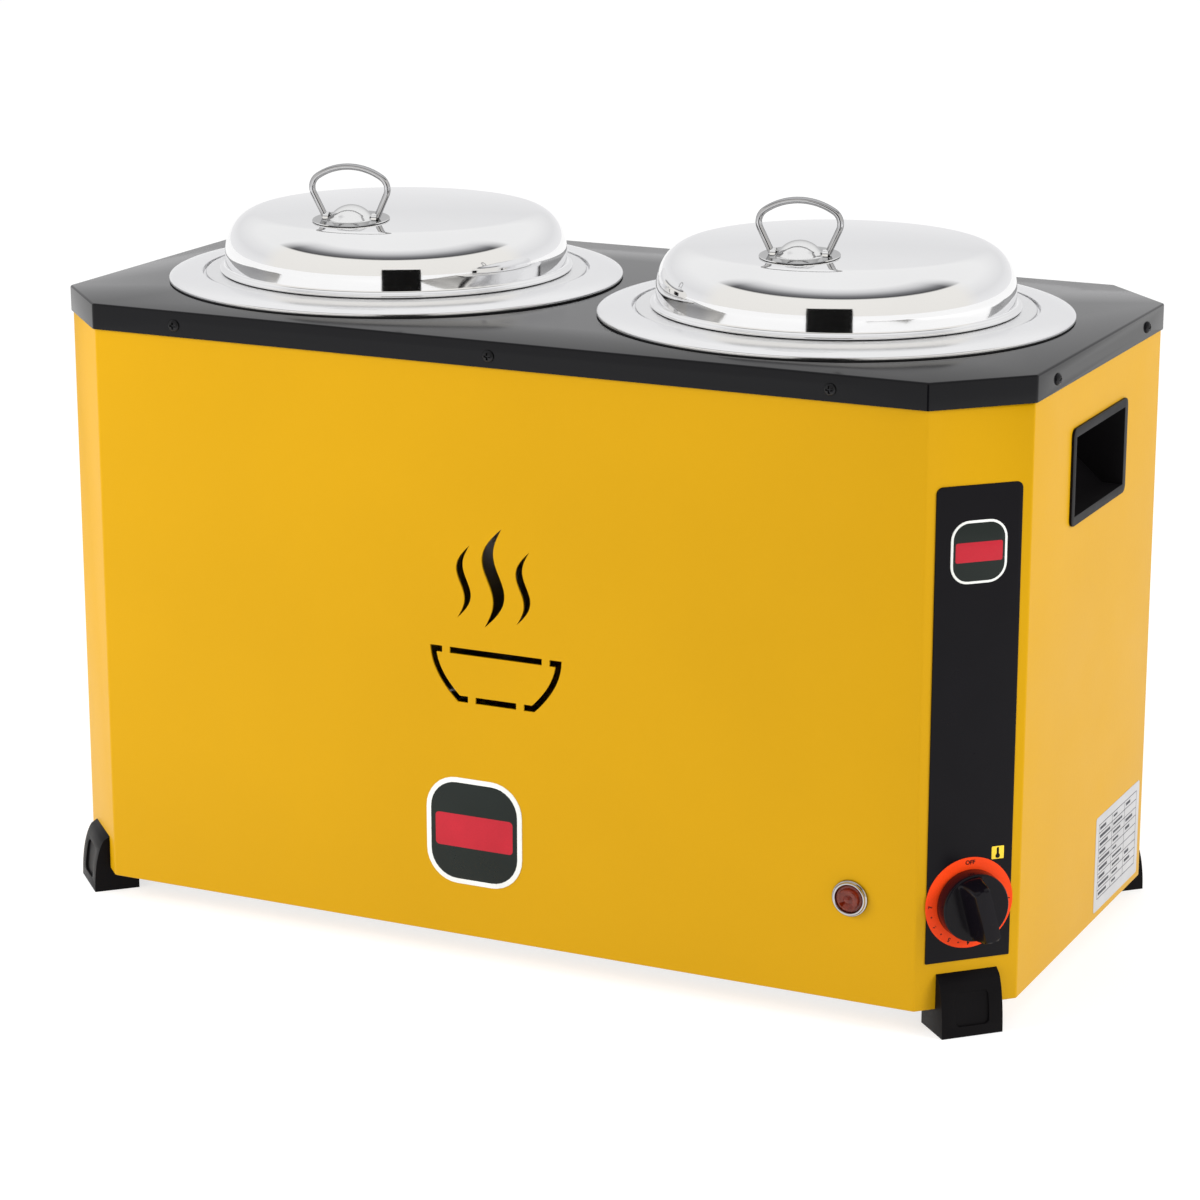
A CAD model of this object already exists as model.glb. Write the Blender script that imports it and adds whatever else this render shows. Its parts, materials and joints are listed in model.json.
"""Looks of a twin-pot electric soup kettle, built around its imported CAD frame. Lengths are in metres."""

import json
import math

import bmesh
import bpy
from mathutils import Matrix, Vector

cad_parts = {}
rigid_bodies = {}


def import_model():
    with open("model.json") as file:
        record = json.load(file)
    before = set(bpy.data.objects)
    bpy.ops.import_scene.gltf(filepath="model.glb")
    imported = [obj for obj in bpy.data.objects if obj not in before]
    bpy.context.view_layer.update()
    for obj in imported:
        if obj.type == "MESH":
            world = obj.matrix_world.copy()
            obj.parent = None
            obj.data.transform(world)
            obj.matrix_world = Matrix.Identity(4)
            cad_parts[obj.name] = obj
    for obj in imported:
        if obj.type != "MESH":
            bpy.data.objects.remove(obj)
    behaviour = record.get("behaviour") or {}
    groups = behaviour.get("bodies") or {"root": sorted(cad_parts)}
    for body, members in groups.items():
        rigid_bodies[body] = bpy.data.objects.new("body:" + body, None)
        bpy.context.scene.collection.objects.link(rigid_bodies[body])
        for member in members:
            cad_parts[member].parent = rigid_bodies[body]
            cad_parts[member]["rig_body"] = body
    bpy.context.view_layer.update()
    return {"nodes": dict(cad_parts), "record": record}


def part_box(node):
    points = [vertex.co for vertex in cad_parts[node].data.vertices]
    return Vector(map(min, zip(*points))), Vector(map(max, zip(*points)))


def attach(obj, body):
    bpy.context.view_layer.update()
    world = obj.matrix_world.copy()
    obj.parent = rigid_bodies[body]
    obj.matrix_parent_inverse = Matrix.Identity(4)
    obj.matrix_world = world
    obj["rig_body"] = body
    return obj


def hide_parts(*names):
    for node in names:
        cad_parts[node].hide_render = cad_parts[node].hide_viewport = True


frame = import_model()
nodes = frame["nodes"]
MM = 0.001
SIDES = ("left", "right")


# ---------------------------------------------------------------- camera, floor and light

def look_camera():
    """The camera at the photograph's viewing angle."""
    data = bpy.data.cameras.new("camera")
    data.lens = 109.37
    data.sensor_width = 36.0
    data.clip_end = 200.0
    camera = bpy.data.objects.new("camera", data)
    camera.location = (0.9915, -2.0899, 0.8316)
    camera.rotation_euler = (math.radians(90 - 15.369), 0, math.radians(25.542))
    bpy.context.scene.collection.objects.link(camera)
    bpy.context.scene.camera = camera


def soft_box(name, place, aim, width, height, watts):
    """A rectangular soft light at place that faces aim and doesn't show in polished metal."""
    data = bpy.data.lights.new(name, "AREA")
    data.shape = "RECTANGLE"
    data.size = width
    data.size_y = height
    data.energy = watts
    light = bpy.data.objects.new(name, data)
    light.location = place
    light.rotation_euler = (Vector(aim) - Vector(place)).to_track_quat("-Z", "Y").to_euler()
    light.visible_camera = False
    light.visible_glossy = False
    bpy.context.scene.collection.objects.link(light)


def studio_sky():
    """A white studio all round, with a dark stretch high up in front that the lids mirror."""
    world = bpy.data.worlds.new("studio")
    world.use_nodes = True
    bpy.context.scene.world = world
    tree = world.node_tree
    background = tree.nodes["Background"]
    direction = tree.nodes.new("ShaderNodeTexCoord").outputs["Generated"]
    split = tree.nodes.new("ShaderNodeSeparateXYZ")
    tree.links.new(direction, split.inputs[0])
    ahead = ramp(tree, split.outputs["Z"], [
        (0.0, (0.97, 0.95, 0.91)),
        (0.56, (0.99, 0.97, 0.93)),
        (0.59, (0.07, 0.07, 0.075)),
        (0.67, (0.24, 0.24, 0.25)),
        (0.78, (0.72, 0.72, 0.73)),
        (0.88, (1.0, 1.0, 1.0)),
        (1.0, (1.0, 1.0, 1.0))])
    behind = ramp(tree, split.outputs["Z"], [
        (0.0, (0.97, 0.97, 0.98)),
        (0.20, (0.87, 0.87, 0.88)),
        (0.50, (1.0, 1.0, 1.0)),
        (1.0, (1.0, 1.0, 1.0))])
    facing = tree.nodes.new("ShaderNodeVectorMath")
    facing.operation = "DOT_PRODUCT"
    facing.inputs[1].default_value = (-0.43, 0.90, 0)
    tree.links.new(direction, facing.inputs[0])
    in_front = ramp(tree, shifted(tree, facing.outputs["Value"], 0.5, 0.5), [
        (0.0, (1, 1, 1)), (0.46, (1, 1, 1)), (0.58, (0, 0, 0))])
    mixed = mix_colour(tree, in_front, behind, ahead)
    tree.links.new(mixed, background.inputs["Color"])
    background.inputs["Strength"].default_value = 0.9


def dark_card():
    """A black board in front of the object, seen only in mirror-like surfaces."""
    mesh = bpy.data.meshes.new("dark_card")
    width, top, out = 0.27, 0.68, 1.15
    aim = Vector((0.426, -0.905, 0))
    across = Vector((0.905, 0.426, 0))
    corners = []
    for side, z in ((-1, 0.004), (1, 0.004), (1, top), (-1, top)):
        corners.append(aim * out + across * (width * side) + Vector((0, 0, z)))
    mesh.from_pydata(corners, [], [(0, 1, 2, 3)])
    card = bpy.data.objects.new("dark_card", mesh)
    mat, tree, shader = new_material("card_black")
    shader.inputs["Roughness"].default_value = 1.0
    shader.inputs["Specular IOR Level"].default_value = 0.0
    speck = ramp(tree, noise(tree, 30), [(0.3, (0.004, 0.004, 0.004)), (0.7, (0.008, 0.008, 0.008))])
    tree.links.new(speck, shader.inputs["Base Color"])
    mesh.materials.append(mat)
    bpy.context.scene.collection.objects.link(card)
    card.visible_camera = False
    card.visible_diffuse = False
    card.visible_shadow = False


def floor():
    """A plain pale floor."""
    mesh = bpy.data.meshes.new("floor")
    half = 30.0
    corners = [(-half, -half, 0), (half, -half, 0), (half, half, 0), (-half, half, 0)]
    mesh.from_pydata(corners, [], [(0, 1, 2, 3)])
    ground = bpy.data.objects.new("floor", mesh)
    mat, tree, shader = new_material("floor_white")
    tone = ramp(tree, noise(tree, 1.5), [(0.3, (0.41, 0.41, 0.41)), (0.7, (0.43, 0.43, 0.43))])
    tree.links.new(tone, shader.inputs["Base Color"])
    shader.inputs["Roughness"].default_value = 0.9
    shader.inputs["Specular IOR Level"].default_value = 0.1
    shader.inputs["Emission Color"].default_value = (1, 1, 1, 1)
    shader.inputs["Emission Strength"].default_value = 0.66
    mesh.materials.append(mat)
    bpy.context.scene.collection.objects.link(ground)


# ---------------------------------------------------------------- material nodes

def new_material(name):
    """A new node material, with its node tree and its shader."""
    mat = bpy.data.materials.new(name)
    mat.use_nodes = True
    return mat, mat.node_tree, mat.node_tree.nodes["Principled BSDF"]


def place_in(tree, stretch):
    """Coordinates that stay with the object, scaled along its axes."""
    coord = tree.nodes.new("ShaderNodeTexCoord")
    mapping = tree.nodes.new("ShaderNodeMapping")
    mapping.inputs["Scale"].default_value = stretch
    tree.links.new(coord.outputs["Object"], mapping.inputs["Vector"])
    return mapping.outputs["Vector"]


def noise(tree, scale, detail=3.0, stretch=(1, 1, 1), vector=None):
    """Noise with scale features to the metre."""
    texture = tree.nodes.new("ShaderNodeTexNoise")
    texture.inputs["Scale"].default_value = scale
    texture.inputs["Detail"].default_value = detail
    tree.links.new(vector or place_in(tree, stretch), texture.inputs["Vector"])
    return texture.outputs["Fac"]


def ramp(tree, value, stops):
    """Turns a value into a colour through a list of (position, colour)."""
    node = tree.nodes.new("ShaderNodeValToRGB")
    elements = node.color_ramp.elements
    while len(elements) < len(stops):
        elements.new(0.5)
    for element, (position, colour) in zip(elements, stops):
        element.position = position
        element.color = (*colour, 1)
    tree.links.new(value, node.inputs["Fac"])
    return node.outputs["Color"]


def shifted(tree, value, factor, offset):
    """value * factor + offset."""
    node = tree.nodes.new("ShaderNodeMath")
    node.operation = "MULTIPLY_ADD"
    tree.links.new(value, node.inputs[0])
    node.inputs[1].default_value = factor
    node.inputs[2].default_value = offset
    return node.outputs[0]


def mix_colour(tree, amount, first, second):
    """Mixes two colours, each a plain colour or a socket."""
    node = tree.nodes.new("ShaderNodeMix")
    node.data_type = "RGBA"
    tree.links.new(amount, node.inputs[0])
    for socket, value in ((node.inputs[6], first), (node.inputs[7], second)):
        if isinstance(value, tuple):
            socket.default_value = (*value, 1)
        else:
            tree.links.new(value, socket)
    return node.outputs[2]


def add_bump(tree, shader, height, depth, strength=1.0):
    """Bump of the given depth in metres."""
    node = tree.nodes.new("ShaderNodeBump")
    node.inputs["Strength"].default_value = strength
    node.inputs["Distance"].default_value = depth
    tree.links.new(height, node.inputs["Height"])
    before = shader.inputs["Normal"].links
    if before:
        tree.links.new(before[0].from_socket, node.inputs["Normal"])
    tree.links.new(node.outputs["Normal"], shader.inputs["Normal"])


def shade(colour, factor):
    """A colour made darker or lighter by a factor."""
    return tuple(min(1.0, c * factor) for c in colour)


def varied_colour(tree, shader, colour, spread, scale, fine_scale):
    """A colour that drifts slowly over the surface, with a fine speckle."""
    dark, light = shade(colour, 1 - spread), shade(colour, 1 + spread)
    slow = ramp(tree, noise(tree, scale), [(0.3, dark), (0.7, light)])
    fine = ramp(tree, noise(tree, fine_scale, 1.0), [(0.40, (0, 0, 0)), (0.72, (1, 1, 1))])
    mixed = mix_colour(tree, shifted(tree, fine, 0.35, 0.0), slow, shade(colour, 1 - 2 * spread))
    tree.links.new(mixed, shader.inputs["Base Color"])


def powder_coat(name, colour, roughness, specular=0.5, peel=0.00006):
    """Powder-coated sheet: an even colour with orange peel and a fine grain."""
    mat, tree, shader = new_material(name)
    varied_colour(tree, shader, colour, 0.025, 6, 1900)
    worn = noise(tree, 14, 4.0)
    tree.links.new(shifted(tree, worn, 0.12, roughness - 0.06), shader.inputs["Roughness"])
    shader.inputs["Specular IOR Level"].default_value = specular
    peel_scale, grain_scale = 420, 1700
    add_bump(tree, shader, noise(tree, peel_scale, 2.0), peel)
    add_bump(tree, shader, noise(tree, grain_scale, 2.0), peel / 6)
    return mat


def round_coordinates(tree):
    """Distance from the piece's own upright axis, for polishing lines that run round it."""
    coord = tree.nodes.new("ShaderNodeTexCoord")
    split = tree.nodes.new("ShaderNodeSeparateXYZ")
    tree.links.new(coord.outputs["Object"], split.inputs[0])
    flat = tree.nodes.new("ShaderNodeCombineXYZ")
    tree.links.new(split.outputs["X"], flat.inputs["X"])
    tree.links.new(split.outputs["Y"], flat.inputs["Y"])
    length = tree.nodes.new("ShaderNodeVectorMath")
    length.operation = "LENGTH"
    tree.links.new(flat.outputs[0], length.inputs[0])
    joined = tree.nodes.new("ShaderNodeCombineXYZ")
    tree.links.new(length.outputs["Value"], joined.inputs["X"])
    tree.links.new(split.outputs["Z"], joined.inputs["Y"])
    return joined.outputs[0]


def steel(name, colour, roughness, spun=False, line_depth=0.000002, smudge=0.05, edge=1.0):
    """Stainless steel with fine polishing lines, either spun round its axis or drawn along one direction.
    smudge is how much its roughness varies, and edge how bright it is at a grazing view."""
    mat, tree, shader = new_material(name)
    shader.inputs["Metallic"].default_value = 1.0
    shader.inputs["Specular Tint"].default_value = (edge, edge, edge, 1)
    tone = ramp(tree, noise(tree, 11, 3.0), [(0.3, shade(colour, 0.975)), (0.7, shade(colour, 1.01))])
    tree.links.new(tone, shader.inputs["Base Color"])
    vector = round_coordinates(tree) if spun else None
    line_scale, along_z = 900, (1, 1, 40)
    lines = noise(tree, line_scale, 4.0, along_z, vector)
    cloud = noise(tree, 23, 4.0)
    soft = tree.nodes.new("ShaderNodeMath")
    soft.operation = "MULTIPLY"
    tree.links.new(cloud, soft.inputs[0])
    tree.links.new(shifted(tree, lines, 0.6, 0.7), soft.inputs[1])
    tree.links.new(shifted(tree, soft.outputs[0], smudge, roughness), shader.inputs["Roughness"])
    add_bump(tree, shader, lines, line_depth, 0.5)
    return mat


def plastic(name, colour, roughness, grain=0.00002, grain_scale=1500, coat=0.0, specular=0.12):
    """Moulded plastic with a fine spark-eroded grain."""
    mat, tree, shader = new_material(name)
    varied_colour(tree, shader, colour, 0.08, 40, 1200)
    tree.links.new(shifted(tree, noise(tree, 60, 4.0), 0.14, roughness - 0.07), shader.inputs["Roughness"])
    add_bump(tree, shader, noise(tree, grain_scale, 2.0), grain)
    shader.inputs["Specular IOR Level"].default_value = specular
    shader.inputs["Coat Weight"].default_value = coat
    shader.inputs["Coat Roughness"].default_value = 0.12
    return mat


def cast_metal(name, colour, roughness, grain):
    """Plated or drawn metal of small inner parts, slightly stained."""
    mat, tree, shader = new_material(name)
    shader.inputs["Metallic"].default_value = 1.0
    stain = ramp(tree, noise(tree, 120, 5.0), [(0.35, shade(colour, 0.78)), (0.65, colour)])
    tree.links.new(stain, shader.inputs["Base Color"])
    tree.links.new(shifted(tree, noise(tree, 300, 4.0), 0.2, roughness - 0.1), shader.inputs["Roughness"])
    add_bump(tree, shader, noise(tree, 1200, 3.0), grain)
    return mat


def lens_plastic():
    """Clear amber plastic with fine moulding flow in it."""
    mat, tree, shader = new_material("lens_amber")
    amber = ramp(tree, noise(tree, 500, 3.0), [(0.3, (0.20, 0.016, 0.003)), (0.7, (0.34, 0.034, 0.005))])
    tree.links.new(amber, shader.inputs["Base Color"])
    shader.inputs["Transmission Weight"].default_value = 0.55
    shader.inputs["IOR"].default_value = 1.5
    tree.links.new(shifted(tree, noise(tree, 200, 2.0), 0.05, 0.05), shader.inputs["Roughness"])
    add_bump(tree, shader, noise(tree, 700, 2.0), 0.00002)
    return mat


YELLOW = (0.565, 0.302, 0.001)
MATERIALS = {
    "shell_paint": powder_coat("shell_paint", YELLOW, 0.42, specular=0.13),
    "cap_paint": powder_coat("cap_paint", (0.004, 0.004, 0.005), 0.12, specular=0.19, peel=0.000005),
    "polished_steel": steel("polished_steel", (0.93, 0.93, 0.935), 0.03, spun=True, smudge=0.05),
    "satin_steel": steel("satin_steel", (0.86, 0.86, 0.865), 0.16, spun=True, line_depth=0.000006,
                         smudge=0.16),
    "zinc_steel": cast_metal("zinc_steel", (0.66, 0.67, 0.69), 0.38, 0.000008),
    "black_steel": cast_metal("black_steel", (0.035, 0.035, 0.037), 0.36, 0.000006),
    "black_plastic": plastic("black_plastic", (0.005, 0.0045, 0.005), 0.38, specular=0.05),
    "knob_plastic": plastic("knob_plastic", (0.004, 0.0030, 0.0050), 0.16, grain=0.000002, specular=0.16),
    "panel_face": plastic("panel_face", (0.0035, 0.0030, 0.0045), 0.30, grain=0.000008, grain_scale=2400),
    "dial_print": plastic("dial_print", (0.93, 0.062, 0.008), 0.42, grain=0.000006),
    "lens_amber": lens_plastic(),
    "white_plastic": plastic("white_plastic", (0.72, 0.71, 0.66), 0.4),
    "seal_rubber": plastic("seal_rubber", (0.02, 0.02, 0.021), 0.6, grain=0.00004, grain_scale=900),
    "copper_tube": cast_metal("copper_tube", (0.78, 0.40, 0.25), 0.32, 0.000006),
    "earth_brass": cast_metal("earth_brass", (0.74, 0.55, 0.24), 0.30, 0.000006),
    "heater_steel": cast_metal("heater_steel", (0.30, 0.26, 0.24), 0.45, 0.00001),
    "block_ceramic": plastic("block_ceramic", (0.80, 0.78, 0.72), 0.5, grain=0.00003, grain_scale=800),
    "lead_cover": plastic("lead_cover", (0.40, 0.05, 0.03), 0.45, grain=0.00002, grain_scale=700),
    "badge_print": plastic("badge_print", (0.006, 0.010, 0.008), 0.22, grain=0.000004, coat=0.25),
    "label_print": plastic("label_print", (0.47, 0.47, 0.48), 0.34, grain=0.000006, grain_scale=2400),
}
SADDLE_STEEL = steel("saddle_steel", (0.90, 0.90, 0.90), 0.07, spun=True, line_depth=0.000001, edge=0.6)
WIRE_STEEL = steel("wire_steel", (0.50, 0.50, 0.51), 0.06, line_depth=0.000001, smudge=0.05, edge=0.12)
RING_STEEL = steel("ring_steel", (0.93, 0.93, 0.94), 0.15, spun=True, line_depth=0.000004, smudge=0.12)
INK_BLACK = plastic("ink_black", (0.006, 0.005, 0.005), 0.45, grain=0.000004)
INK_GREY = plastic("ink_grey", (0.045, 0.045, 0.055), 0.45, grain=0.000004)
INK_YELLOW = plastic("ink_yellow", (0.86, 0.62, 0.05), 0.4, grain=0.000004)
INK_WHITE = plastic("ink_white", (0.78, 0.79, 0.76), 0.3, grain=0.000004)
INK_RED = plastic("ink_red", (0.46, 0.014, 0.028), 0.3, grain=0.000004, coat=0.2)


# ---------------------------------------------------------------- mesh helpers

def piece(name, bm, material, body, slot, *replaced, place=Matrix.Identity(4), crease=35.0, turned=False):
    """Turns a bmesh into a visible piece that rides on a body and stands for CAD nodes.
    A turned piece keeps its own axes, which its spun polishing lines run round."""
    if not turned:
        bmesh.ops.transform(bm, matrix=place, verts=bm.verts)
    bmesh.ops.recalc_face_normals(bm, faces=bm.faces)
    mesh = bpy.data.meshes.new(name)
    bm.to_mesh(mesh)
    bm.free()
    mesh.shade_smooth()
    mesh.set_sharp_from_angle(angle=math.radians(crease))
    obj = bpy.data.objects.new(name, mesh)
    mesh.materials.append(material)
    bpy.context.scene.collection.objects.link(obj)
    if turned:
        obj.matrix_world = place
    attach(obj, body)
    if replaced:
        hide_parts(*replaced)
    return obj


def middle(node):
    """The middle of a CAD node's box."""
    low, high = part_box(node)
    return (low + high) / 2


def arc(cx, cz, rx, rz, start, end, steps):
    """Points on an ellipse from one angle to another, in degrees, as (radius, height)."""
    points = []
    for i in range(steps + 1):
        angle = math.radians(start + (end - start) * i / steps)
        points.append((cx + rx * math.cos(angle), cz + rz * math.sin(angle)))
    return points


def lathe(profile, segments=160, closed=True):
    """A bmesh of a profile of (radius, height) turned round the z axis."""
    bm = bmesh.new()
    rings = []
    for radius, height in profile:
        if radius < 1e-7:
            rings.append([bm.verts.new((0, 0, height))])
            continue
        ring = []
        for k in range(segments):
            angle = 2 * math.pi * k / segments
            ring.append(bm.verts.new((radius * math.cos(angle), radius * math.sin(angle), height)))
        rings.append(ring)
    pairs = list(zip(rings, rings[1:]))
    if closed and len(rings[0]) > 1 and len(rings[-1]) > 1:
        pairs.append((rings[-1], rings[0]))
    for low, high in pairs:
        for k in range(segments):
            n = (k + 1) % segments
            corners = [low[k % len(low)], low[n % len(low)], high[n % len(high)], high[k % len(high)]]
            corners = [v for i, v in enumerate(corners) if v not in corners[:i]]
            if len(corners) > 2:
                bm.faces.new(corners)
    return bm


def tube(bm, points, radius, sides):
    """A round bar with flat ends along a list of points, added to bm."""
    points = [Vector(p) for p in points]
    tangent = (points[1] - points[0]).normalized()
    across = tangent.orthogonal().normalized()
    rings = []
    for i, point in enumerate(points):
        ahead = points[min(i + 1, len(points) - 1)] - points[max(i - 1, 0)]
        turn = tangent.rotation_difference(ahead.normalized())
        across = turn @ across
        tangent = ahead.normalized()
        up = tangent.cross(across)
        ring = []
        for k in range(sides):
            angle = 2 * math.pi * k / sides
            ring.append(bm.verts.new(point + radius * (math.cos(angle) * across + math.sin(angle) * up)))
        rings.append(ring)
    for low, high in zip(rings, rings[1:]):
        for k in range(sides):
            bm.faces.new((low[k], low[(k + 1) % sides], high[(k + 1) % sides], high[k]))
    bm.faces.new(rings[0])
    bm.faces.new(rings[-1])


def rounded_outline(width, height, radii, steps=8):
    """Points round a rectangle with rounded corners; radii run from the top right, anticlockwise."""
    points = []
    for k, (sx, sy) in enumerate(((1, 1), (-1, 1), (-1, -1), (1, -1))):
        r = radii[k]
        cx, cy = sx * (width / 2 - r), sy * (height / 2 - r)
        for i in range(steps + 1):
            angle = math.radians(90 * k + 90 * i / steps)
            points.append((cx + r * math.cos(angle), cy + r * math.sin(angle)))
    return points


def plate(bm, width, height, radii, z_low, z_high, edge, centre=(0, 0)):
    """A plate with rounded corners and a rounded upper edge, added to bm."""
    levels = [(0, z_low)]
    for i in range(4):
        angle = math.radians(90 * i / 3)
        levels.append((edge * (1 - math.cos(angle)), z_high - edge + edge * math.sin(angle)))
    rings = []
    for inset, z in levels:
        small = [max(r - inset, 1e-6) for r in radii]
        outline = rounded_outline(width - 2 * inset, height - 2 * inset, small)
        rings.append([bm.verts.new((x + centre[0], y + centre[1], z)) for x, y in outline])
    for low, high in zip(rings, rings[1:]):
        for k in range(len(low)):
            n = (k + 1) % len(low)
            bm.faces.new((low[k], low[n], high[n], high[k]))
    bm.faces.new(rings[0])
    bm.faces.new(rings[-1])


def softened(node, width, chooser, material, crease=35.0, segments=4):
    """A copy of a CAD node with the chosen edges rounded, which stands for the node."""
    bm = bmesh.new()
    bm.from_mesh(nodes[node].data)
    bmesh.ops.remove_doubles(bm, verts=bm.verts, dist=2e-6)
    bmesh.ops.dissolve_limit(bm, angle_limit=math.radians(0.4), verts=bm.verts, edges=bm.edges)
    bm.normal_update()
    chosen = [e for e in bm.edges if len(e.link_faces) == 2 and chooser(e)]
    bmesh.ops.bevel(bm, geom=chosen, offset=width, segments=segments, profile=0.5,
                    affect="EDGES", clamp_overlap=True)
    bmesh.ops.triangulate(bm, faces=[f for f in bm.faces if len(f.verts) > 4])
    slot = slot_of(node)
    return piece(node + "_look", bm, material, nodes[node]["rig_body"], slot, node, crease=crease)


def slot_of(node):
    """The record's material slot of a CAD node."""
    for row in frame["record"]["subparts"]:
        if row["node"] == node:
            return row["material_slot"]
    return None


def face_frame(origin, across, out):
    """Axes on a face of the casing: x across it, y up and z outwards."""
    up = Vector(out).cross(Vector(across))
    axes = Matrix((across, up, out)).transposed().to_4x4()
    return Matrix.Translation(origin) @ axes


# ---------------------------------------------------------------- casing

BODY_LOW, BODY_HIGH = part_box("body_shell")
CAP_LOW, CAP_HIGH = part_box("cap")
CORNER = 48 * MM
CLOSE = 0.05 * MM


def plan_distance(point, half_x, half_y, corner):
    """How far a point is outside the casing's outline, seen from above."""
    x, y = abs(point.x), abs(point.y)
    return max(x - half_x, y - half_y, (x + y - half_x - half_y + corner) / math.sqrt(2))


def is_fold(edge):
    """True on the upright 45 degree folds."""
    flat = all(abs(f.normal.z) < 0.1 for f in edge.link_faces)
    return flat and 40 < math.degrees(edge.calc_face_angle(0)) < 50


def body_edges(edge):
    """The casing's folds and its outer lower edge."""
    ends = [v.co for v in edge.verts]
    low = all(v.z < BODY_LOW.z + CLOSE for v in ends)
    outer = all(plan_distance(v, BODY_HIGH.x, BODY_HIGH.y, CORNER) > -CLOSE for v in ends)
    return is_fold(edge) or (low and outer)


def cap_edges(edge):
    """The cap's outer folds and its outer upper edge."""
    ends = [v.co for v in edge.verts]
    grown = CORNER + (CAP_HIGH.x - BODY_HIGH.x) * (2 - math.sqrt(2))
    top = all(v.z > CAP_HIGH.z - CLOSE for v in ends)
    outer = all(plan_distance(v, CAP_HIGH.x, CAP_HIGH.y, grown) > -CLOSE for v in ends)
    return (is_fold(edge) or top) and outer


def sharp_edges(edge):
    """Every edge that turns by more than 50 degrees."""
    return math.degrees(edge.calc_face_angle(0)) > 50


softened("body_shell", 1.1 * MM, body_edges, MATERIALS["shell_paint"])
softened("cap", 1.4 * MM, cap_edges, MATERIALS["cap_paint"])


def screw_head(bm, place, radius, height):
    """A button head with a cross recess, added to bm at place, whose z axis points outwards."""
    rings, spokes = 12, 48
    cross_long, cross_wide, depth = 0.52 * radius, 0.13 * radius, 0.45 * height
    rows = []
    for i in range(rings + 1):
        r = radius * math.sin(math.radians(90 * i / rings))
        z = height * math.cos(math.radians(90 * i / rings)) ** 0.8
        row = []
        for k in range(spokes if i else 1):
            angle = 2 * math.pi * k / spokes
            x, y = r * math.cos(angle), r * math.sin(angle)
            in_cross = min(abs(x), abs(y)) < cross_wide and max(abs(x), abs(y)) < cross_long
            row.append(bm.verts.new(place @ Vector((x, y, z - (depth if in_cross else 0)))))
        rows.append(row)
    for low, high in zip(rows, rows[1:]):
        for k in range(spokes):
            n = (k + 1) % spokes
            corners = [low[k % len(low)], high[k], high[n], low[n % len(low)]]
            corners = [v for i, v in enumerate(corners) if v not in corners[:i]]
            bm.faces.new(corners)
    bm.faces.new(rows[-1])


def cap_screw_heads():
    """The button screws round the cap's skirt, at the ends of the CAD screws."""
    cell, near = 40 * MM, 20 * MM
    clusters = {}
    for vertex in nodes["cap_screws"].data.vertices:
        key = (round(vertex.co.x / cell), round(vertex.co.y / cell))
        clusters.setdefault(key, []).append(vertex.co)
    groups = []
    for points in clusters.values():
        centre = sum(points, Vector()) / len(points)
        for group in groups:
            if (group[0] - centre).length < near:
                group[1].extend(points)
                break
        else:
            groups.append((centre, list(points)))
    bm = bmesh.new()
    for _, points in groups:
        low = Vector((min(p.x for p in points), min(p.y for p in points), min(p.z for p in points)))
        high = Vector((max(p.x for p in points), max(p.y for p in points), max(p.z for p in points)))
        centre = (low + high) / 2
        radius = (high.z - low.z) / 2
        if high.x - low.x < high.y - low.y:
            out = Vector((0, math.copysign(1, centre.y), 0))
            face = CAP_HIGH.y
            origin = Vector((centre.x, out.y * face, centre.z))
            height = max(abs(low.y), abs(high.y)) - face
        else:
            out = Vector((math.copysign(1, centre.x), 0, 0))
            face = CAP_HIGH.x
            origin = Vector((out.x * face, centre.y, centre.z))
            height = max(abs(low.x), abs(high.x)) - face
        across = Vector((0, 0, 1)).cross(out)
        screw_head(bm, face_frame(origin, across, out), radius, height)
    piece("cap_screw_heads", bm, MATERIALS["black_steel"], "root", "black_steel", "cap_screws", crease=50)


cap_screw_heads()

for foot in ("front_right", "rear_right", "rear_left", "front_left"):
    softened("foot_" + foot, 1.3 * MM, sharp_edges, MATERIALS["black_plastic"], segments=3)
for side in SIDES:
    softened("grip_" + side, 0.8 * MM, sharp_edges, MATERIALS["black_plastic"], segments=3)


# ---------------------------------------------------------------- wells, pots and lids

def upright(node):
    """A place on the upright axis through a round node, at the height of the table."""
    centre = middle(node)
    return Matrix.Translation((centre.x, centre.y, 0))


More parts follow.
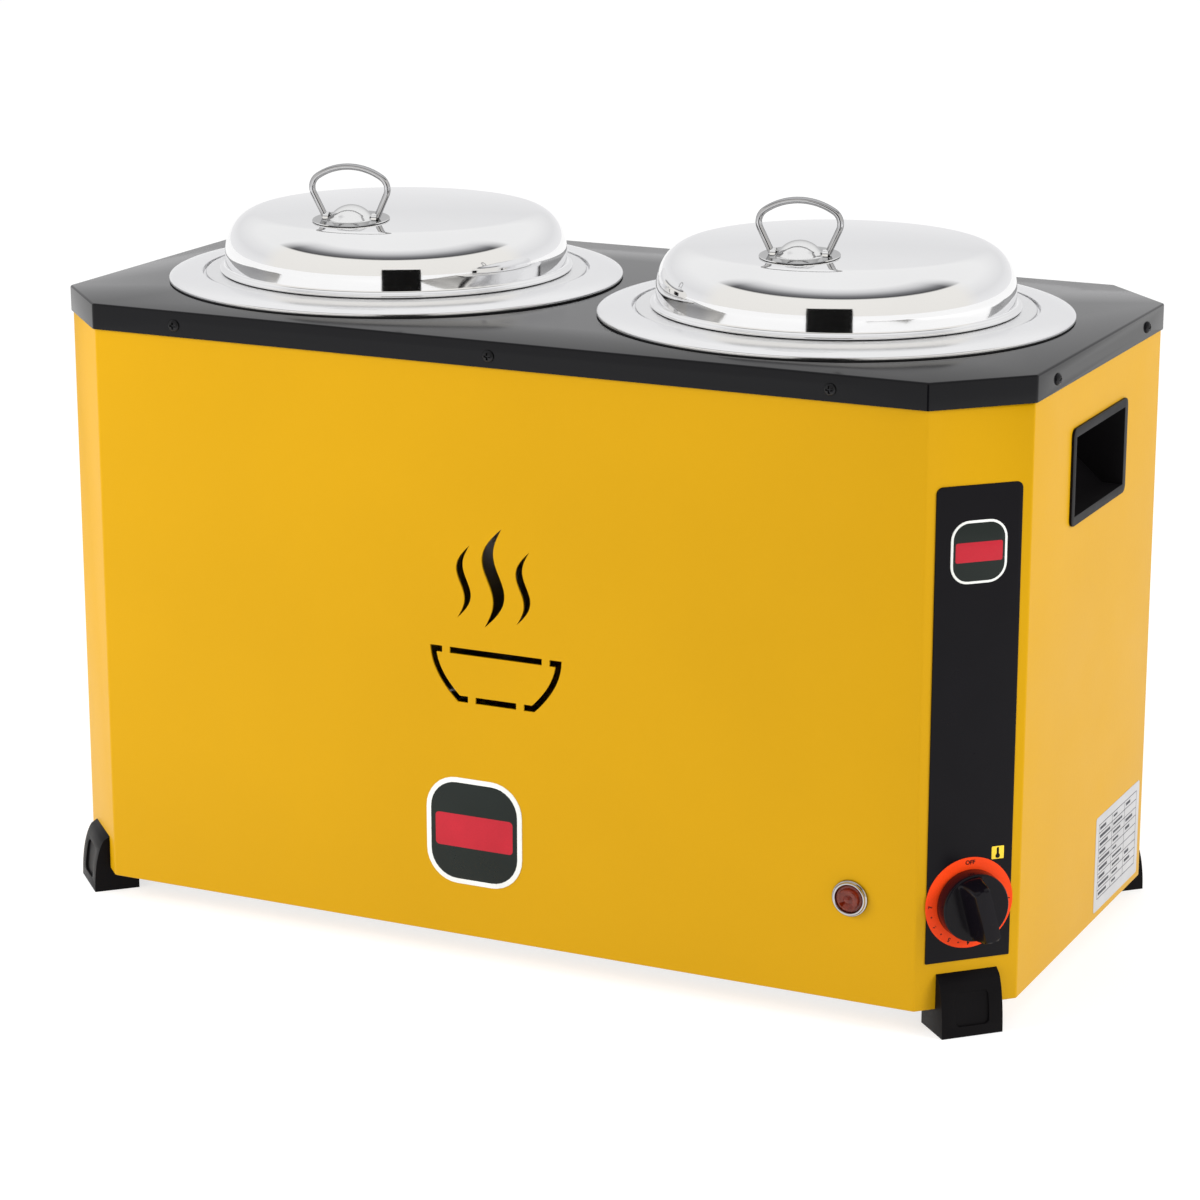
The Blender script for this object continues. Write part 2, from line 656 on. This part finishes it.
def well_look(side):
    """The well with its wide rounded flange ring round the mouth."""
    low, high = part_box("well_" + side)
    top = CAP_HIGH.z
    outer = (high.x - low.x) / 2
    crest = high.z
    crest_out, crest_in, bore = outer - 21.1 * MM, outer - 22.1 * MM, outer - 33.5 * MM
    bottom = top - 258 * MM
    skin = 1.0 * MM
    ledge = top + 2.4 * MM
    bend, lip = 17 * MM, 1.5 * MM
    profile = [(0, bottom)]
    profile += arc(bore - bend, bottom + bend, bend, bend, -90, 0, 8)
    profile += [(bore, ledge - lip)]
    profile += arc(bore + lip, ledge - lip, lip, lip, 180, 90, 4)
    profile += [(crest_in - 1.2 * MM, ledge)]
    profile += arc(crest_in - 1.2 * MM, ledge + 1.2 * MM, 1.2 * MM, 1.2 * MM, -90, 0, 4)
    profile += arc(crest_in + 0.9 * MM, crest - 0.9 * MM, 0.9 * MM, 0.9 * MM, 180, 90, 5)
    profile += arc(crest_out, top + 1.9 * MM, outer - crest_out, crest - top - 1.9 * MM, 86, 0, 22)
    profile += [(outer, top + 1.0 * MM), (outer - 8 * MM, top + 1.0 * MM)]
    profile += [(crest_out, crest - 1.3 * MM), (crest_out, ledge - skin), (bore + skin, ledge - skin)]
    profile += arc(bore - bend, bottom + bend, bend + skin, bend + skin, 0, -90, 8)
    profile += [(0, bottom - skin)]
    bm = lathe(profile, 192, closed=False)
    stud_r, bevel = 4 * MM, 0.4 * MM
    stud_top = bottom - 0.5 * MM
    stud = [(0, low.z), (3.6 * MM, low.z), (stud_r, low.z + bevel), (stud_r, stud_top), (0, stud_top)]
    join(bm, lathe(stud, 32, closed=False))
    place = upright("well_" + side)
    piece("well_look_" + side, bm, RING_STEEL, "root", "satin_steel", "well_" + side, place=place,
          turned=True)


def join(bm, other):
    """Adds another bmesh to bm."""
    mesh = bpy.data.meshes.new("joined")
    other.to_mesh(mesh)
    other.free()
    bm.from_mesh(mesh)
    bpy.data.meshes.remove(mesh)


def pot_look(side):
    """The pot with its wide rounded rim."""
    low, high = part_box("pot_" + side)
    rim = (high.x - low.x) / 2
    wall = rim - 12.4 * MM
    skin = 0.8 * MM
    top, bottom = high.z, low.z
    lip = 2.6 * MM
    profile = [(0, bottom)] + arc(wall - 20 * MM, bottom + 20 * MM, 20 * MM, 20 * MM, -90, 0, 8)
    profile += [(wall, top - 1.4 * MM), (rim - 1.4 * MM, top - 1.4 * MM), (rim - 1.4 * MM, top - lip)]
    profile += [(rim - 0.6 * MM, top - lip - 0.3 * MM), (rim, top - lip + 0.3 * MM)]
    profile += arc(rim - 1.2 * MM, top - 1.2 * MM, 1.2 * MM, 1.2 * MM, 0, 90, 5)
    profile += arc(wall - skin + 1.6 * MM, top - 1.6 * MM, 1.6 * MM, 1.6 * MM, 90, 180, 5)
    profile += arc(wall - 20 * MM, bottom + 20 * MM, 19.2 * MM, 19.2 * MM, 0, -90, 8)
    profile += [(0, bottom + skin)]
    bm = lathe(profile, 192, closed=False)
    place = upright("pot_" + side)
    piece("pot_look_" + side, bm, MATERIALS["satin_steel"], side + "_pot", "satin_steel", "pot_" + side,
          place=place, turned=True)


SHOULDER_W, SHOULDER_H = 22 * MM, 27.5 * MM
CROWN = 3.3 * MM


def lid_outline(radius, top, inset):
    """The lid's line from its wall up over the shoulder to the axis, inset from the outer face."""
    centre = (radius - SHOULDER_W, top - CROWN - SHOULDER_H)
    points = arc(*centre, SHOULDER_W - inset, SHOULDER_H - inset, 0, 88, 26)
    flat = points[-1][0]
    start = points[-1][1]
    rise = top - inset - start
    steps = 14
    for i in range(1, steps + 1):
        share = 1 - i / steps
        points.append((flat * share, start + rise * (1 - share * share)))
    return points


def lid_look(side):
    """The domed lid with a rolled bead round its lower edge."""
    low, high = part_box("lid_" + side)
    outer = (high.x - low.x) / 2
    radius = outer - 3.6 * MM
    base, top = low.z, high.z
    bead = 1.1 * MM
    centre = (outer - bead, base + bead)
    flare = 2.0 * MM
    profile = arc(centre[0], centre[1], bead, bead, -150, 90, 14)
    profile += arc(radius + flare, base + 2 * bead + flare, flare, flare, -90, -180, 6)
    profile += lid_outline(radius, top, 0)
    skin = 0.8 * MM
    profile += lid_outline(radius, top, skin)[::-1]
    profile += [(radius - skin, base + 3.5 * MM), (radius + 0.2 * MM, base + 1.2 * MM)]
    bm = lathe(profile, 224)
    place = upright("lid_" + side)
    body = side + "_lid"
    piece("lid_look_" + side, bm, MATERIALS["polished_steel"], body, "polished_steel", "lid_" + side,
          place=place, turned=True)


def handle_frame(side):
    """The place and tilt of a lid's handle: z stands square to the lid under it."""
    lid_axis = middle("lid_" + side)
    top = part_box("lid_" + side)[1].z
    forward = 60 * MM
    reach = 90.6 * MM
    drop = CROWN * (forward / reach) ** 2
    tilt = math.atan(2 * drop / forward)
    spot = Matrix.Translation((lid_axis.x, lid_axis.y - forward, top - drop + 0.02 * MM))
    return spot @ Matrix.Rotation(tilt, 4, "X") @ Matrix.Rotation(math.radians(12), 4, "Z")


def saddle_look(side):
    """The handle's round base plate with its pressed dome and two clips."""
    plate_r, skin, dome_r, dome_h = 25 * MM, 0.8 * MM, 14.3 * MM, 8.8 * MM
    ball = (dome_r ** 2 + dome_h ** 2) / (2 * dome_h)
    start = math.degrees(math.asin((ball - dome_h) / ball))
    profile = [(0, 0), (plate_r - 0.4 * MM, 0), (plate_r, 0.3 * MM), (plate_r - 0.3 * MM, skin)]
    profile += arc(dome_r + 2.2 * MM, skin + 2.2 * MM, 2.2 * MM, 2.2 * MM, -90, -140, 5)
    profile += arc(0, skin + dome_h - ball, ball, ball, start + 10, 90, 14)
    bm = lathe(profile, 96, closed=False)
    for sign in (-1, 1):
        strap = []
        for i in range(9):
            angle = math.radians(180 * i / 8)
            strap.append((sign * 16.2 * MM, 3.8 * MM * math.cos(angle), skin + 3.3 * MM * math.sin(angle)))
        clip = bmesh.new()
        band(clip, strap, Vector((3.6 * MM, 0, 0)), 0.7 * MM)
        join(bm, clip)
    piece("lid_saddle_look_" + side, bm, SADDLE_STEEL, side + "_lid", "polished_steel",
          "lid_saddle_" + side, place=handle_frame(side), turned=True)


def band(bm, points, across, skin):
    """A flat strap of the given thickness bent along points, added to bm."""
    points = [Vector(p) for p in points]
    half = across / 2
    rows = []
    for i, point in enumerate(points):
        ahead = (points[min(i + 1, len(points) - 1)] - points[max(i - 1, 0)]).normalized()
        out = ahead.cross(across).normalized() * skin / 2
        corners = ((-1, -1), (1, -1), (1, 1), (-1, 1))
        rows.append([bm.verts.new(point + a * half + b * out) for a, b in corners])
    for low, high in zip(rows, rows[1:]):
        for k in range(4):
            bm.faces.new((low[k], low[(k + 1) % 4], high[(k + 1) % 4], high[k]))
    bm.faces.new(rows[0])
    bm.faces.new(rows[-1])
    bmesh.ops.recalc_face_normals(bm, faces=bm.faces)
    bmesh.ops.bevel(bm, geom=[e for e in bm.edges if e.calc_face_angle(0) > 1.0], offset=skin * 0.3,
                    segments=2, affect="EDGES", clamp_overlap=True)


def handle_path():
    """The wire's centre line: two leaning legs, two tight shoulders and one wide arch, as (x, z)."""
    foot, height, arch, shoulder, lean = 17 * MM, 33.5 * MM, 38 * MM, 9 * MM, math.radians(25)
    hub_z = height - arch
    along = Vector((math.sin(lean), math.cos(lean)))
    inward = Vector((-math.cos(lean), math.sin(lean)))
    start = Vector((foot, 0)) + shoulder * inward - Vector((0, hub_z))
    part = start.dot(along)
    length = -part + math.sqrt(part * part - start.dot(start) + (arch - shoulder) ** 2)
    hub = Vector((foot, 0)) + length * along + shoulder * inward
    out = math.atan2(hub.y - hub_z, hub.x)
    right = [Vector((foot, 0)) + along * (length * i / 8) for i in range(8)]
    right += [hub + shoulder * Vector((math.cos(a), math.sin(a)))
              for a in [-lean + (out + lean) * i / 12 for i in range(12)]]
    right += [Vector((0, hub_z)) + arch * Vector((math.cos(a), math.sin(a)))
              for a in [out + (math.pi / 2 - out) * i / 14 for i in range(15)]]
    left = [Vector((-p.x, p.y)) for p in right[:-1]]
    return right + left[::-1]


def handle_look(side):
    """The polished wire loop, whose feet start just above the plate."""
    skin = 0.8 * MM
    path = [(p.x, 0, p.y + skin) for p in handle_path()]
    foot_lift, lean = 1.3 * MM, 0.466
    path[0] = (path[0][0] + foot_lift * lean, 0, path[0][2] + foot_lift)
    path[-1] = (path[-1][0] - foot_lift * lean, 0, path[-1][2] + foot_lift)
    bm = bmesh.new()
    tube(bm, path, 2 * MM, 24)
    piece("lid_handle_look_" + side, bm, WIRE_STEEL, side + "_lid", "polished_steel",
          "lid_handle_" + side, place=handle_frame(side))


for side in SIDES:
    well_look(side)
    pot_look(side)
    lid_look(side)
    saddle_look(side)
    handle_look(side)


# ---------------------------------------------------------------- controls

HALF = math.sqrt(0.5)
CONTROL_ACROSS = Vector((HALF, HALF, 0))
CONTROL_OUT = Vector((HALF, -HALF, 0))


def on_chamfer(height, off=0.0, turn=0.0):
    """Axes on the front right corner of the casing, at a height above the table."""
    centre = Vector((BODY_HIGH.x - CORNER / 2, -BODY_HIGH.y + CORNER / 2, height))
    face = face_frame(centre + CONTROL_OUT * off, CONTROL_ACROSS, CONTROL_OUT)
    return face @ Matrix.Rotation(turn, 4, "Z")


DIAL_Z = middle("dial_ring").z
PANEL_LOW, PANEL_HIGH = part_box("control_panel")
PANEL_T = 1.0 * MM
RING_T = 0.4 * MM


def panel_look():
    """The black control panel, rounded at its upper corners."""
    height = PANEL_HIGH.z - PANEL_LOW.z
    width = 55 * MM
    bm = bmesh.new()
    plate(bm, width, height, (4 * MM, 4 * MM, 0.5 * MM, 0.5 * MM), 0, PANEL_T, 0.35 * MM)
    place = on_chamfer((PANEL_LOW.z + PANEL_HIGH.z) / 2)
    piece("control_panel_look", bm, MATERIALS["panel_face"], "root", "panel_face", "control_panel",
          place=place)


def dial_look():
    """The orange dial ring."""
    outer, inner, lip = 28.5 * MM, 17.5 * MM, 0.15 * MM
    profile = [(inner, 0), (outer, 0), (outer, RING_T - lip), (outer - lip, RING_T), (inner, RING_T)]
    piece("dial_ring_look", lathe(profile, 128), MATERIALS["dial_print"], "root", "dial_print", "dial_ring",
          place=on_chamfer(DIAL_Z, PANEL_T))


def lettering(text, size):
    """The outline of a short text as a bmesh, standing upright and centred."""
    curve = bpy.data.curves.new("text", "FONT")
    curve.body = text
    curve.size = size
    curve.align_x = "CENTER"
    curve.align_y = "CENTER"
    curve.extrude = 0.02 * MM
    curve.offset = 0.12 * MM
    obj = bpy.data.objects.new("text", curve)
    bpy.context.scene.collection.objects.link(obj)
    bpy.context.view_layer.update()
    mesh = bpy.data.meshes.new_from_object(obj.evaluated_get(bpy.context.evaluated_depsgraph_get()))
    bm = bmesh.new()
    bm.from_mesh(mesh)
    bpy.data.objects.remove(obj)
    bpy.data.curves.remove(curve)
    bpy.data.meshes.remove(mesh)
    return bm


def dial_marks():
    """Off, the numbers and the dots between them, printed on the ring."""
    marks = bmesh.new()
    radius, dot_r, half_t = 25.3 * MM, 0.5 * MM, 0.02 * MM
    texts = [(0, "OFF", 3.6 * MM)]
    texts += [(90 + 30 * i, str(i + 1), 3.4 * MM) for i in range(7)]
    for angle, text, size in texts:
        bm = lettering(text, size)
        turn = Matrix.Rotation(-math.radians(angle), 4, "Z")
        bmesh.ops.transform(bm, matrix=turn @ Matrix.Translation((0, radius, 0)), verts=bm.verts)
        join(marks, bm)
    for angle in range(105, 270, 30):
        dot = lathe([(0, -half_t), (dot_r, -half_t), (dot_r, half_t), (0, half_t)], 16, closed=False)
        turn = Matrix.Rotation(-math.radians(angle), 4, "Z")
        bmesh.ops.transform(dot, matrix=turn @ Matrix.Translation((0, radius, 0)), verts=dot.verts)
        join(marks, dot)
    place = on_chamfer(DIAL_Z, PANEL_T + RING_T + 0.03 * MM)
    piece("dial_marks", marks, INK_BLACK, "root", "dial_print", place=place)


def heat_sign():
    """A small yellow square with a thermometer on the panel."""
    above_dial, aside, side = 29.5 * MM, 18 * MM, 8 * MM
    place = on_chamfer(DIAL_Z + above_dial, PANEL_T) @ Matrix.Translation((aside, 0, 0))
    bm = bmesh.new()
    plate(bm, side, side, [0.5 * MM] * 4, 0, 0.06 * MM, 0.02 * MM)
    piece("heat_sign", bm, INK_YELLOW, "root", "panel_face", place=place)
    sign = bmesh.new()
    plate(sign, 1.5 * MM, 5.2 * MM, [0.7 * MM] * 4, 0, 0.1 * MM, 0.02 * MM, (0, 0.7 * MM))
    plate(sign, 3.0 * MM, 3.0 * MM, [1.45 * MM] * 4, 0, 0.12 * MM, 0.02 * MM, (0, -2.0 * MM))
    piece("heat_sign_mark", sign, INK_BLACK, "root", "panel_face", place=place)


def knob_surface(x, y, r_top, low, high):
    """Height of the knob's face: a grip bar with a rounded back across a shallow dish."""
    bar, fillet = 6.0 * MM, 2.2 * MM
    u = abs(x)
    if u < bar - 1.2 * MM:
        side = 1.0
    else:
        t = min(1.0, (u - (bar - 1.2 * MM)) / (1.2 * MM + fillet))
        side = 0.5 + 0.5 * math.cos(math.pi * t ** 0.8)
    r = math.hypot(x, y)
    end = 1.0
    fall = 3.2 * MM
    if r > r_top - fall:
        t = min(1.0, (r - (r_top - fall)) / fall)
        end = math.sqrt(max(0.0, 1 - t * t)) * 0.62 + 0.38 * (1 - t)
    crown = 1 - 0.05 * (y / r_top) ** 2 - 0.04 * (u / bar) ** 2 * side
    dish = 0.5 * MM * (1 - (r / r_top) ** 2)
    return low - dish * (1 - side) + (high - low) * side * end * crown


def knob_look():
    """The thermostat knob: a round skirt with a raised grip bar."""
    low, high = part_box("knob")
    radius = (high.z - low.z) / 2
    base = PANEL_T + RING_T + 0.8 * MM
    skirt, full = 10 * MM, 27 * MM
    turn = -math.radians(165)
    r_top = radius - 1.6 * MM
    bm = bmesh.new()
    rows = []
    count = 44
    inner = [i / 16 for i in range(-16, 17)]
    for j in range(count + 1):
        y = r_top * math.sin(math.radians(-90 + 180 * j / count))
        chord = math.sqrt(max(0.0, r_top * r_top - y * y))
        span = min(chord, 8.6 * MM)
        xs = [span * s for s in inner]
        outer = [span + (chord - span) * i / 6 for i in range(1, 7)]
        xs = [-x for x in outer[::-1]] + xs + outer
        rows.append([bm.verts.new((x, y, knob_surface(x, y, r_top, skirt, full))) for x in xs])
    for a, b in zip(rows, rows[1:]):
        for k in range(len(a) - 1):
            bm.faces.new((a[k], a[k + 1], b[k + 1], b[k]))
    bmesh.ops.remove_doubles(bm, verts=bm.verts, dist=2e-6)
    edge, wall, roof, shaft_r = 1.1 * MM, radius - 2 * MM, 3 * MM, 3.2 * MM
    rim = [(r_top - 0.4 * MM, skirt - 0.3 * MM), (r_top, skirt)]
    rim += arc(radius - 1.5 * MM, skirt - edge, edge, edge, 80, 0, 5)
    rim += [(radius, 0.6 * MM), (radius - 0.3 * MM, 0), (wall, 0), (wall, roof)]
    rim += [(shaft_r, roof), (shaft_r, 2 * MM)]
    join(bm, lathe(rim, 128))
    place = on_chamfer(DIAL_Z, base, turn)
    piece("knob_look", bm, MATERIALS["knob_plastic"], "dial_knob", "knob_plastic", "knob",
          place=place, crease=50)


def lamp_look():
    """The pilot lamp: a chrome bezel round an amber lens with a stepped face."""
    centre = middle("lamp_bezel")
    place = face_frame((centre.x, -BODY_HIGH.y, centre.z), Vector((1, 0, 0)), Vector((0, -1, 0)))
    ring = 11.4 * MM
    bezel = [(8.7 * MM, 0.1 * MM), (ring, 0.0)]
    bezel += arc(ring - 1.3 * MM, 1.1 * MM, 1.3 * MM, 1.1 * MM, 0, 70, 5)
    bezel += arc(9.6 * MM, 2.3 * MM, 0.9 * MM, 0.9 * MM, 60, 180, 6)
    piece("lamp_bezel_look", lathe(bezel, 96), WIRE_STEEL, "root", "polished_steel", "lamp_bezel",
          place=place)
    lens_r, back = 8.5 * MM, 0.2 * MM
    lens = [(0, back), (lens_r, back), (lens_r, 1.6 * MM)]
    lens += arc(7.7 * MM, 1.6 * MM, 0.8 * MM, 0.5 * MM, 0, 90, 4)
    lens += [(6.9 * MM, 2.2 * MM), (6.6 * MM, 4.0 * MM)]
    lens += arc(5.6 * MM, 4.1 * MM, 1.0 * MM, 1.0 * MM, 0, 80, 4)
    lens += arc(0, -4.9 * MM, 5.6 * MM, 10.4 * MM, 60, 90, 4)
    bm = lathe(lens, 96, closed=False)
    piece("lamp_lens_look", bm, MATERIALS["lens_amber"], "root", "lens_amber", "lamp_lens", place=place)


panel_look()
dial_look()
dial_marks()
heat_sign()
knob_look()
lamp_look()


# ---------------------------------------------------------------- badges and label

def badge(name, place, width, height, border, *replaced):
    """A plain generic badge: a light border, a dark field and a red band."""
    t = 0.45 * MM
    base = bmesh.new()
    plate(base, width, height, [width * 0.32] * 4, 0, t, 0.15 * MM)
    piece(name, base, INK_WHITE, "root", "badge_print", *replaced, place=place)
    field = bmesh.new()
    w, h = width - 2 * border, height - 2 * border
    plate(field, w, h, [w * 0.3] * 4, t - 0.1 * MM, t + 0.03 * MM, 0.01 * MM)
    piece(name + "_field", field, MATERIALS["badge_print"], "root", "badge_print", place=place)
    red = bmesh.new()
    plate(red, w - 2 * border, h * 0.34, [2 * border * 0.4] * 4, t, t + 0.05 * MM, 0.01 * MM)
    piece(name + "_band", red, INK_RED, "root", "badge_print", place=place)


def badges():
    """The badge on the front and the smaller one at the top of the panel."""
    low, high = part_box("front_badge")
    centre = (low + high) / 2
    place = face_frame((centre.x, -BODY_HIGH.y, centre.z), Vector((1, 0, 0)), Vector((0, -1, 0)))
    front_border, panel_border, panel_width = 3.2 * MM, 1.5 * MM, 36 * MM
    badge("front_badge_look", place, high.x - low.x, high.z - low.z, front_border, "front_badge")
    low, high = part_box("panel_badge")
    place = on_chamfer((low.z + high.z) / 2, PANEL_T)
    badge("panel_badge_look", place, panel_width, high.z - low.z, panel_border, "panel_badge")


def label():
    """The rating label: a silver plate with plain rules and bars in place of its print."""
    low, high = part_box("rating_label")
    centre = (low + high) / 2
    width, height = high.y - low.y, high.z - low.z
    place = face_frame((BODY_HIGH.x, centre.y, centre.z), Vector((0, 1, 0)), Vector((1, 0, 0)))
    base = bmesh.new()
    plate(base, width, height, [2 * MM] * 4, 0, 0.17 * MM, 0.05 * MM)
    piece("rating_label_look", base, MATERIALS["label_print"], "root", "label_print", "rating_label",
          place=place)
    lines = bmesh.new()
    margin, rows = 6 * MM, 9
    rule, thin, thick = 0.5 * MM, 1.6 * MM, 2.0 * MM
    left, right, top = -width / 2 + margin, width / 2 - margin, height / 2 - margin
    pitch = (height - 14 * MM) / rows
    for i in range(rows + 1):
        y = top - i * pitch
        bar(lines, left, right, y, rule)
        if i == rows:
            break
        mid = y - pitch / 2
        first = 0.16 + 0.05 * ((i * 5) % 3)
        bar(lines, left + 2 * MM, left + width * first, mid, thick)
        bar(lines, left + width * 0.33, left + width * (0.42 + 0.04 * ((i * 7) % 4)), mid, thin)
        if i in (0, 2, 3, 6, 7):
            bar(lines, left + width * 0.62, left + width * (0.72 + 0.03 * (i % 3)), mid, thick)
    for x in (left, left + width * 0.30, left + width * 0.59, right):
        upright_bar(lines, x, top - rows * pitch, top, rule)
    piece("rating_label_lines", lines, INK_GREY, "root", "label_print", place=place)


def bar(bm, x0, x1, y, tall):
    """A thin printed bar from x0 to x1."""
    plate(bm, x1 - x0, tall, [tall * 0.2] * 4, 0.15 * MM, 0.19 * MM, 0.005 * MM, ((x0 + x1) / 2, y))


def upright_bar(bm, x, y0, y1, wide):
    """A thin printed rule from y0 up to y1."""
    plate(bm, wide, y1 - y0, [wide * 0.2] * 4, 0.15 * MM, 0.19 * MM, 0.005 * MM, (x, (y0 + y1) / 2))


badges()
label()


# ---------------------------------------------------------------- the other CAD nodes

for row in frame["record"]["subparts"]:
    data = nodes[row["node"]].data
    data.materials.clear()
    data.materials.append(MATERIALS[row["material_slot"]])

look_camera()
floor()
studio_sky()
dark_card()
soft_box("key", (-1.4, -1.3, 1.15), (-0.3, -0.1, 0.35), 1.1, 1.0, 30)
soft_box("side", (2.3, -0.1, 1.3), (0.2, 0, 0.25), 1.0, 1.4, 33)
bpy.context.scene.view_settings.view_transform = "Standard"
